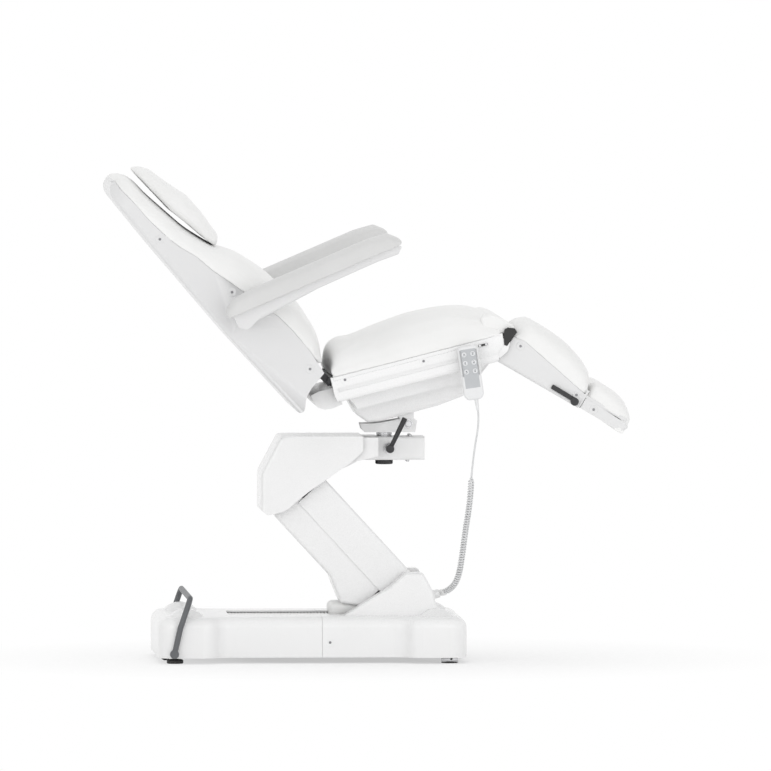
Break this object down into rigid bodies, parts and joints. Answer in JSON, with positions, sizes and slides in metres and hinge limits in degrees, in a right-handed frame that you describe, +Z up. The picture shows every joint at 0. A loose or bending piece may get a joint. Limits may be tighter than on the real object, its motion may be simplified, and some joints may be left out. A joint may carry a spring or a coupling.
{
  "type": "podiatry chair",
  "caption": "Electric podiatry chair: split leg rests, reclining back, folding armrests and a handset, on a parallel lift arm over a moulded floor base.",
  "frame": {"origin": "on the floor under the middle of the chair's length and width, as it stands at rest", "axes": "+X towards the footrests, +Y to the far side, +Z up"},
  "size_m": [1.4245, 0.8484, 1.3378],
  "materials": {
    "vinyl": "smooth soft upholstery vinyl, off white",
    "cover": "smooth moulded cover, off white",
    "trim": "light grey moulded trim",
    "black_plastic": "fine grained black plastic",
    "painted": "light grey powder coat",
    "dark_painted": "dark grey powder coat",
    "bright": "plated steel",
    "rubber": "black rubber",
    "handset": "light grey handset plastic",
    "keypad": "grey keypad film"
  },
  "bodies": {
    "base": {"base_plate": "painted", "pivot_cheeks": "painted", "base_cover_long": "cover", "base_cover_tower": "cover", "levelling_feet": "rubber", "control_box": "black_plastic", "cord_gland": "black_plastic", "cord_straight": "rubber", "cord_coil": "rubber"},
    "transport": {"transport_bar": "dark_painted"},
    "castor_near": {"castor_near": "black_plastic"},
    "castor_far": {"castor_far": "black_plastic"},
    "lower_link": {"lower_link": "painted", "arm_lower_cover": "cover"},
    "upper_link": {"upper_link": "painted", "arm_upper_cover": "cover"},
    "lift_motor": {"lift_motor": "black_plastic"},
    "lift_rod": {"lift_rod": "bright"},
    "head": {"head_casting": "painted", "head_cover": "cover", "clamp_collar": "bright"},
    "clamp_lever": {"clamp_lever": "black_plastic"},
    "turntable": {"swivel_post": "bright", "turntable_bracket": "painted"},
    "seat": {"seat_pan": "cover", "seat_board": "painted", "seat_cushion": "vinyl", "knee_flap": "vinyl", "handset_case": "handset", "handset_panel": "keypad", "handset_holder": "trim", "cord_relief": "black_plastic"},
    "back": {"back_shell": "cover", "back_frame": "painted", "back_cushion": "vinyl"},
    "headrest": {"headrest_pillow": "vinyl"},
    "armrest_near": {"armrest_base_near": "trim", "armrest_pad_near": "vinyl"},
    "leg_near": {"leg_shell_near": "cover", "leg_cushion_near": "vinyl"},
    "foot_near": {"foot_shell_near": "cover", "foot_cushion_near": "vinyl"},
    "leg_handle_near": {"leg_handle_near": "black_plastic"},
    "armrest_far": {"armrest_base_far": "trim", "armrest_pad_far": "vinyl"},
    "leg_far": {"leg_shell_far": "cover", "leg_cushion_far": "vinyl"},
    "foot_far": {"foot_shell_far": "cover", "foot_cushion_far": "vinyl"},
    "leg_handle_far": {"leg_handle_far": "black_plastic"},
    "button_up": {"button_up": "handset"},
    "button_down": {"button_down": "handset"},
    "button_back_up": {"button_back_up": "handset"},
    "button_back_down": {"button_back_down": "handset"},
    "button_tilt_up": {"button_tilt_up": "handset"},
    "button_tilt_down": {"button_tilt_down": "handset"}
  },
  "joints": [
    {"name": "lift", "type": "hinge", "parent": "base", "child": "lower_link", "pos_m": [0.1023, 0, 0.061], "axis": [0, 1, 0], "range_deg": [-34.4, 0], "deforming": ["cord_straight", "cord_coil"]},
    {"name": "upper_link_pivot", "type": "hinge", "parent": "base", "child": "upper_link", "pos_m": [0.1573, 0, 0.143], "axis": [0, 1, 0], "range_deg": [-34.4, 0]},
    {"name": "head_level", "type": "hinge", "parent": "lower_link", "child": "head", "pos_m": [-0.23614, 0, 0.42905], "axis": [0, 1, 0], "range_deg": [0, 34.4]},
    {"name": "lift_motor_pivot", "type": "hinge", "parent": "base", "child": "lift_motor", "pos_m": [0.1023, 0, 0.061], "axis": [0, 1, 0], "range_deg": [-33.25, 0]},
    {"name": "lift_rod_slide", "type": "slide", "parent": "lift_motor", "child": "lift_rod", "axis": [-0.5329, 0, 0.8462], "range_m": [-0.05796, 0]},
    {"name": "transport_pedal", "type": "hinge", "parent": "base", "child": "transport", "pos_m": [-0.5347, 0, 0.028], "axis": [0, 1, 0], "range_deg": [-60, 0]},
    {"name": "castor_spin_near", "type": "hinge", "parent": "transport", "child": "castor_near", "pos_m": [-0.5527, 0, 0.018], "axis": [0, 1, 0], "continuous": true},
    {"name": "castor_spin_far", "type": "hinge", "parent": "transport", "child": "castor_far", "pos_m": [-0.5527, 0, 0.018], "axis": [0, 1, 0], "continuous": true},
    {"name": "clamp_turn", "type": "hinge", "parent": "head", "child": "clamp_lever", "pos_m": [0.05636, -0.055, 0.57405], "axis": [0, 1, 0], "range_deg": [0, 60]},
    {"name": "swivel", "type": "hinge", "parent": "head", "child": "turntable", "pos_m": [0.04636, 0, 0.60405], "axis": [0, 0, 1], "range_deg": [-90, 90], "deforming": ["cord_straight", "cord_coil"]},
    {"name": "seat_tilt", "type": "hinge", "parent": "turntable", "child": "seat", "pos_m": [0.10976, 0, 0.63955], "axis": [0, 1, 0], "range_deg": [0, 14.2], "deforming": ["cord_straight", "cord_coil"]},
    {"name": "back_recline", "type": "hinge", "parent": "seat", "child": "back", "pos_m": [-0.11431, 0, 0.7644], "axis": [0, 1, 0], "range_deg": [-58, 12]},
    {"name": "headrest_slide", "type": "slide", "parent": "back", "child": "headrest", "axis": [-0.6678, 0, 0.7443], "range_m": [0, 0.05]},
    {"name": "armrest_fold_near", "type": "hinge", "parent": "back", "child": "armrest_near", "pos_m": [-0.34333, 0, 0.93429], "axis": [0, 1, 0], "range_deg": [-90, 0]},
    {"name": "leg_angle_near", "type": "hinge", "parent": "seat", "child": "leg_near", "pos_m": [0.35633, 0, 0.85791], "axis": [0, 1, 0], "range_deg": [-38, 18], "deforming": ["knee_flap"]},
    {"name": "foot_slide_near", "type": "slide", "parent": "leg_near", "child": "foot_near", "axis": [0.8572, 0, -0.515], "range_m": [0, 0.1]},
    {"name": "handle_turn_near", "type": "hinge", "parent": "leg_near", "child": "leg_handle_near", "pos_m": [0.54609, 0, 0.70772], "axis": [0, 1, 0], "range_deg": [0, 20]},
    {"name": "armrest_fold_far", "type": "hinge", "parent": "back", "child": "armrest_far", "pos_m": [-0.34333, 0, 0.93429], "axis": [0, 1, 0], "range_deg": [-90, 0]},
    {"name": "leg_angle_far", "type": "hinge", "parent": "seat", "child": "leg_far", "pos_m": [0.35633, 0, 0.85791], "axis": [0, 1, 0], "range_deg": [-38, 18], "deforming": ["knee_flap"]},
    {"name": "foot_slide_far", "type": "slide", "parent": "leg_far", "child": "foot_far", "axis": [0.8572, 0, -0.515], "range_m": [0, 0.1]},
    {"name": "handle_turn_far", "type": "hinge", "parent": "leg_far", "child": "leg_handle_far", "pos_m": [0.54609, 0, 0.70772], "axis": [0, 1, 0], "range_deg": [0, 20]},
    {"name": "press_up", "type": "slide", "parent": "seat", "child": "button_up", "axis": [0, 1, 0], "range_m": [0, 0.001], "stiffness_N_per_m": 800, "springref_m": -0.0005},
    {"name": "press_down", "type": "slide", "parent": "seat", "child": "button_down", "axis": [0, 1, 0], "range_m": [0, 0.001], "stiffness_N_per_m": 800, "springref_m": -0.0005},
    {"name": "press_back_up", "type": "slide", "parent": "seat", "child": "button_back_up", "axis": [0, 1, 0], "range_m": [0, 0.001], "stiffness_N_per_m": 800, "springref_m": -0.0005},
    {"name": "press_back_down", "type": "slide", "parent": "seat", "child": "button_back_down", "axis": [0, 1, 0], "range_m": [0, 0.001], "stiffness_N_per_m": 800, "springref_m": -0.0005},
    {"name": "press_tilt_up", "type": "slide", "parent": "seat", "child": "button_tilt_up", "axis": [0, 1, 0], "range_m": [0, 0.001], "stiffness_N_per_m": 800, "springref_m": -0.0005},
    {"name": "press_tilt_down", "type": "slide", "parent": "seat", "child": "button_tilt_down", "axis": [0, 1, 0], "range_m": [0, 0.001], "stiffness_N_per_m": 800, "springref_m": -0.0005}
  ],
  "couplings": [
    {"joint": "upper_link_pivot", "follows": "lift", "ratio": 1},
    {"joint": "head_level", "follows": "lift", "ratio": -1},
    {"joint": "lift_motor_pivot", "follows": "lift", "ratio": 0.96641},
    {"joint": "lift_rod_slide", "follows": "lift", "m_per_rad": 0.096505}
  ]
}
